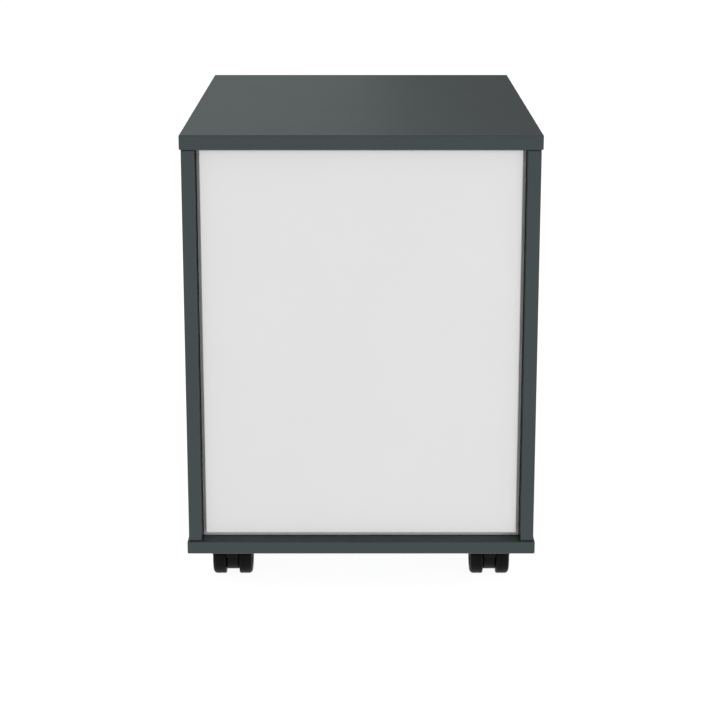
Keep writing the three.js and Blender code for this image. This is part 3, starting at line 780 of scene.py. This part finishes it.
def make_castor_housing(castor):
    """The moulded housing: a curved hood over both wheels, a web between them and the bearing boss."""
    node = f"{castor}_housing"
    low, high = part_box(node)
    axle, pivot = centre_of(f"{castor}_axle"), centre_of(f"{castor}_plate")
    across, up = (1, 0, 0), (0, 0, 1)
    half = (high[0] - low[0]) / 2
    hood_radius, well_radius, web_radius, web_half = 27.8 * MM, 25.8 * MM, 19.3 * MM, 7.7 * MM
    edge, web_edge = 1.2 * MM, 1 * MM
    corner = 0.35 * edge
    hood_profile = [(0, -half), (hood_radius - edge, -half), (hood_radius - corner, -half + corner)]
    hood_profile += [(hood_radius, -half + edge), (hood_radius, half - edge)]
    hood_profile += [(hood_radius - corner, half - corner), (hood_radius - edge, half), (0, half)]
    hood_bottom, wide = axle.z + 8 * MM, 100 * MM
    keep = rounded_block((axle.x - wide, axle.y - wide, hood_bottom),
                         (axle.x + wide, axle.y + wide, high[2]))
    hood = boolean(lathe(hood_profile, across, axle, 96), keep, "INTERSECT")
    web_profile = [(0, -web_half), (web_radius - web_edge, -web_half), (web_radius, -web_half + web_edge)]
    web_profile += [(web_radius, web_half - web_edge), (web_radius - web_edge, web_half), (0, web_half)]
    web = lathe(web_profile, across, axle, 96)
    neck = rounded_block((axle.x - web_half, axle.y, axle.z + 5 * MM),
                         (axle.x + web_half, pivot.y + 9 * MM, high[2] - 3 * MM), 1 * MM, 2)
    boss_radius, boss_height, boss_edge = 11 * MM, 12 * MM, 0.8 * MM
    boss_profile = [(0, 0), (boss_radius, 0), (boss_radius, boss_height - boss_edge)]
    boss_profile += [(boss_radius - boss_edge, boss_height), (0, boss_height)]
    boss = lathe(boss_profile, up, (pivot.x, pivot.y, high[2] - boss_height), 64)
    body = boolean(boolean(boolean(hood, web, "UNION"), neck, "UNION"), boss, "UNION")
    for side in (-1, 1):
        well = rod(well_radius, web_half + 0.3 * MM, half + PAST, (side, 0, 0), axle, 96)
        body = boolean(body, well, "DIFFERENCE")
    kingpin_bore = rod(4.3 * MM, 0, 20 * MM, up, (pivot.x, pivot.y, high[2] - 9 * MM))
    body = boolean(body, kingpin_bore, "DIFFERENCE")
    axle_bore = rod(3.3 * MM, -30 * MM, 30 * MM, across, axle)
    body = boolean(body, axle_bore, "DIFFERENCE")
    piece = to_object(f"{node}_finished", body, BLACK_PLASTIC, 28)
    finish_piece(piece, f"{castor}_swivel", "black_plastic", node)


def make_castor(castor):
    """The housing, both wheels, the axle, and the plate with its four screws from below."""
    make_castor_housing(castor)
    for hand, side in SIDES:
        make_wheel(castor, hand, side)
    bevel_node(f"{castor}_plate", ZINC, 0.5 * MM)
    bevel_node(f"{castor}_axle", ZINC, 0.3 * MM)
    middle = centre_of(f"{castor}_plate")
    corner, underside = 16.2 * MM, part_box(f"{castor}_plate")[1][2] - 2.4 * MM
    corners = [(dx * corner, dy * corner) for dx in (-1, 1) for dy in (-1, 1)]
    places = [(middle.x + dx, middle.y + dy, underside) for dx, dy in corners]
    screws(f"{castor}_plate_screws", "carcass", places, (0, 0, -1), height=1.3 * MM)


# ----------------------------------------------------------------------------------------------------
# Put the cabinet together
# ----------------------------------------------------------------------------------------------------
def make_carcass():
    make_panels()
    for hand, side in SIDES:
        make_side_panel(hand, side)
    make_back_panel()
    bevel_node("counterweight", IRON, 2.0 * MM, 3)


def make_drawer(drawer):
    make_drawer_front(drawer)
    make_handle(drawer)
    make_tray(drawer)
    for hand, _ in SIDES:
        for member in SLIDE_MEMBERS:
            bevel_node(f"{drawer}_{hand}_slide_{member}", ZINC, 0.35 * MM)
    make_ball_cages(drawer)


make_carcass()
for drawer_name in DRAWERS:
    make_drawer(drawer_name)
make_pen_tray()
make_lock()
make_bar_guides()
bevel_node("lock_plug", CHROME, 0.25 * MM)
bevel_node("lock_bar", ZINC, 0.3 * MM)
for hand_name, _ in SIDES:
    make_file_rail(hand_name)
for castor_name in CASTORS:
    make_castor(castor_name)


# ----------------------------------------------------------------------------------------------------
# Studio
# ----------------------------------------------------------------------------------------------------
def make_floor():
    """A wide white floor that glows a little, so that it stays as pale as the backdrop."""
    sheet = bmesh.new()
    bmesh.ops.create_grid(sheet, x_segments=2, y_segments=2, size=22)
    paint = Shader("studio_floor")
    paint.set(Roughness=0.9, Specular_IOR_Level=0.0)
    paint.feed("Base Color", paint.blend(paint.noise(0.4), (0.24, 0.24, 0.24), (0.26, 0.26, 0.26)))
    paint.set(Emission_Color=(1, 1, 1, 1), Emission_Strength=0.94)
    floor = to_object("studio_floor", sheet, paint.material)


def area_light(name, place, aim, width, height, radiance, colour=(1, 1, 1)):
    """A soft box that gives light and reflections, and isn't itself in any picture. Sizes are in metres."""
    light = bpy.data.lights.new(name, "AREA")
    light.shape = "RECTANGLE"
    light.size = width
    light.size_y = height
    light.energy = radiance * math.pi * width * height
    light.color = colour
    lamp = bpy.data.objects.new(name, light)
    lamp.location = place
    lamp.rotation_euler = (Vector(aim) - Vector(place)).to_track_quat("-Z", "Y").to_euler()
    lamp.visible_camera = False
    bpy.context.scene.collection.objects.link(lamp)


# How bright the backdrop is, as two factors. Each goes from `low` to `high` while the direction's Y or Z
# goes from `start` to `end`: it is darker beyond the drawers, at -Y, and palest low down.
BACKDROP = (("Y", {"start": -0.85, "end": -0.25, "low": 0.09, "high": 0.50}),
            ("Z", {"start": 0.14, "end": 0.45, "low": 2.00, "high": 0.75}))


def make_backdrop(tree):
    background = tree.nodes["Background"]
    background.inputs["Color"].default_value = (1.0, 1.0, 1.0, 1)
    direction = tree.nodes.new("ShaderNodeSeparateXYZ")
    tree.links.new(tree.nodes.new("ShaderNodeTexCoord").outputs["Generated"], direction.inputs["Vector"])
    strength = tree.nodes.new("ShaderNodeMath")
    strength.operation = "MULTIPLY"
    for number, (way, factor) in enumerate(BACKDROP):
        ramp = tree.nodes.new("ShaderNodeMapRange")
        ramp.interpolation_type = "SMOOTHSTEP"
        ramp.inputs["From Min"].default_value = factor["start"]
        ramp.inputs["From Max"].default_value = factor["end"]
        ramp.inputs["To Min"].default_value = factor["low"]
        ramp.inputs["To Max"].default_value = factor["high"]
        tree.links.new(direction.outputs[way], ramp.inputs["Value"])
        tree.links.new(ramp.outputs["Result"], strength.inputs[number])
    tree.links.new(strength.outputs["Value"], background.inputs["Strength"])


def make_studio():
    make_floor()
    world = bpy.data.worlds.new("studio_world")
    bpy.context.scene.world = world
    world.use_nodes = True
    make_backdrop(world.node_tree)
    cabinet = (0, 0, 0.3)
    area_light("overhead", (0, 0.2, 4.4), (0, 0.2, 0), 5.0, 5.0, radiance=0.52)
    area_light("behind_camera", (-4.2, 3.9, 1.6), cabinet, 2.6, 2.8, radiance=2.3)
    area_light("drawer_side", (0.8, -3.6, 4.6), cabinet, 4.0, 2.6, radiance=1.5)
    area_light("far_window", (2.41, -4.4, 2.0), (2.41, 0, 2.0), 5.0, 4.0, radiance=0.21,
               colour=(0.77, 1.0, 0.92))
    bpy.context.scene.view_settings.view_transform = "Standard"


make_studio()
